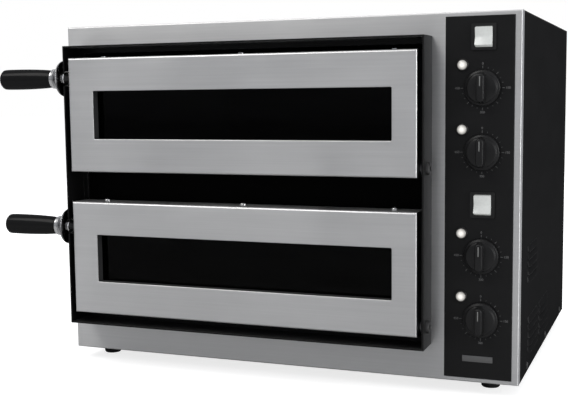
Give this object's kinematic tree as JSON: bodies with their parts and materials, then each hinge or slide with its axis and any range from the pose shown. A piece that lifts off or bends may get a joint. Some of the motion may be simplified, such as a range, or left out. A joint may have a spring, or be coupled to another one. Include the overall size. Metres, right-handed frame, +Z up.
{
  "type": "countertop pizza oven",
  "caption": "Electric countertop pizza oven with stacked decks, drop-down glazed doors, side handles and a full-height control panel.",
  "frame": {"origin": "on the counter, under the middle of the whole object's outline (handles and supply cord included)", "axes": "+X to the user's right, +Y from the doors to the back, +Z up"},
  "size_m": [0.6496, 0.5384, 0.4292],
  "materials": {
    "black_casing_paint": "fine textured black powder coat",
    "black_surround_paint": "satin black heat-resistant paint",
    "stainless_fascia": "fine grain brushed stainless steel",
    "stainless_door": "brushed stainless steel, grain along the width",
    "black_control_panel": "satin black printed panel",
    "chamber_steel": "aluminised steel, heat-tinted",
    "refractory_stone": "fired cordierite baking stone",
    "element_sheath": "oxidised element sheath",
    "insulation_fibre": "ceramic fibre blanket",
    "zinc_plate": "zinc-plated steel",
    "black_screws": "blackened steel",
    "bright_screws": "bright stainless steel",
    "spring_steel": "spring steel wire",
    "white_ceramic": "white steatite",
    "foot_rubber": "black rubber",
    "cord_rubber": "black rubber sheath",
    "seal_silicone": "black silicone",
    "black_plastic": "black moulded plastic",
    "black_knob": "black moulded thermoset plastic",
    "black_handle_plastic": "polished black thermoset plastic",
    "chrome_trim": "bright chrome plate",
    "lit_lens": "clear lamp lens, lit",
    "lit_rocker": "translucent pale rocker, lit",
    "door_glass": "dark tempered glass"
  },
  "bodies": {
    "casing": {"base_pan": "black_casing_paint", "feet": "foot_rubber", "foot_screws": "zinc_plate", "left_side_panel": "black_casing_paint", "right_side_panel": "black_casing_paint", "rear_panel": "black_casing_paint", "top_cover": "black_casing_paint", "casing_screws": "black_screws", "front_fascia": "stainless_fascia", "control_panel": "black_control_panel", "door_surround": "black_surround_paint", "mouth_plate": "black_surround_paint", "upper_chamber": "chamber_steel", "lower_chamber": "chamber_steel", "baking_stones": "refractory_stone", "heating_elements": "element_sheath", "insulation_blankets": "insulation_fibre", "heat_shield": "zinc_plate", "thermostats": "zinc_plate", "terminal_block": "white_ceramic", "cable_gland": "black_plastic", "power_cord": "cord_rubber", "power_plug": "cord_rubber", "pilot_lamp_bodies": "black_plastic", "pilot_lenses": "lit_lens", "rocker_housings": "black_plastic"},
    "upper_door": {"upper_door_skin": "stainless_door", "upper_door_glass_frame": "black_surround_paint", "upper_door_glass": "door_glass", "upper_door_glass_seal": "seal_silicone", "upper_door_inner_pan": "chamber_steel", "upper_door_insulation": "insulation_fibre", "upper_door_skin_screws": "bright_screws", "upper_door_hinge_screws": "zinc_plate", "upper_door_springs": "spring_steel", "upper_handle_bolt": "zinc_plate", "upper_handle_collar": "chrome_trim", "upper_handle_flange": "chrome_trim", "upper_handle_ferrule": "chrome_trim", "upper_handle_grip": "black_handle_plastic"},
    "lower_door": {"lower_door_skin": "stainless_door", "lower_door_glass_frame": "black_surround_paint", "lower_door_glass": "door_glass", "lower_door_glass_seal": "seal_silicone", "lower_door_inner_pan": "chamber_steel", "lower_door_insulation": "insulation_fibre", "lower_door_skin_screws": "bright_screws", "lower_door_hinge_screws": "zinc_plate", "lower_door_springs": "spring_steel", "lower_handle_bolt": "zinc_plate", "lower_handle_collar": "chrome_trim", "lower_handle_flange": "chrome_trim", "lower_handle_ferrule": "chrome_trim", "lower_handle_grip": "black_handle_plastic"},
    "upper_deck_top_knob": {"upper_deck_top_heat_knob": "black_knob"},
    "upper_deck_bottom_knob": {"upper_deck_bottom_heat_knob": "black_knob"},
    "lower_deck_top_knob": {"lower_deck_top_heat_knob": "black_knob"},
    "lower_deck_bottom_knob": {"lower_deck_bottom_heat_knob": "black_knob"},
    "upper_deck_rocker": {"upper_deck_rocker": "lit_rocker"},
    "lower_deck_rocker": {"lower_deck_rocker": "lit_rocker"}
  },
  "joints": [
    {"name": "upper_door_hinge", "type": "hinge", "parent": "casing", "child": "upper_door", "pos_m": [-0.0024, -0.24025, 0.2567], "axis": [1, 0, 0], "range_deg": [0, 90]},
    {"name": "lower_door_hinge", "type": "hinge", "parent": "casing", "child": "lower_door", "pos_m": [-0.0024, -0.24025, 0.0797], "axis": [1, 0, 0], "range_deg": [0, 90]},
    {"name": "upper_deck_top_knob_turn", "type": "hinge", "parent": "casing", "child": "upper_deck_top_knob", "pos_m": [0.2806, -0.22925, 0.344], "axis": [0, 1, 0], "range_deg": [0, 270]},
    {"name": "upper_deck_bottom_knob_turn", "type": "hinge", "parent": "casing", "child": "upper_deck_bottom_knob", "pos_m": [0.2806, -0.22925, 0.274], "axis": [0, 1, 0], "range_deg": [0, 270]},
    {"name": "lower_deck_top_knob_turn", "type": "hinge", "parent": "casing", "child": "lower_deck_top_knob", "pos_m": [0.2806, -0.22925, 0.159], "axis": [0, 1, 0], "range_deg": [0, 270]},
    {"name": "lower_deck_bottom_knob_turn", "type": "hinge", "parent": "casing", "child": "lower_deck_bottom_knob", "pos_m": [0.2806, -0.22925, 0.0875], "axis": [0, 1, 0], "range_deg": [0, 270]},
    {"name": "upper_deck_rocker_tilt", "type": "hinge", "parent": "casing", "child": "upper_deck_rocker", "pos_m": [0.2816, -0.21925, 0.3993], "axis": [1, 0, 0], "range_deg": [0, 14]},
    {"name": "lower_deck_rocker_tilt", "type": "hinge", "parent": "casing", "child": "lower_deck_rocker", "pos_m": [0.2816, -0.21925, 0.216], "axis": [1, 0, 0], "range_deg": [0, 14]}
  ]
}
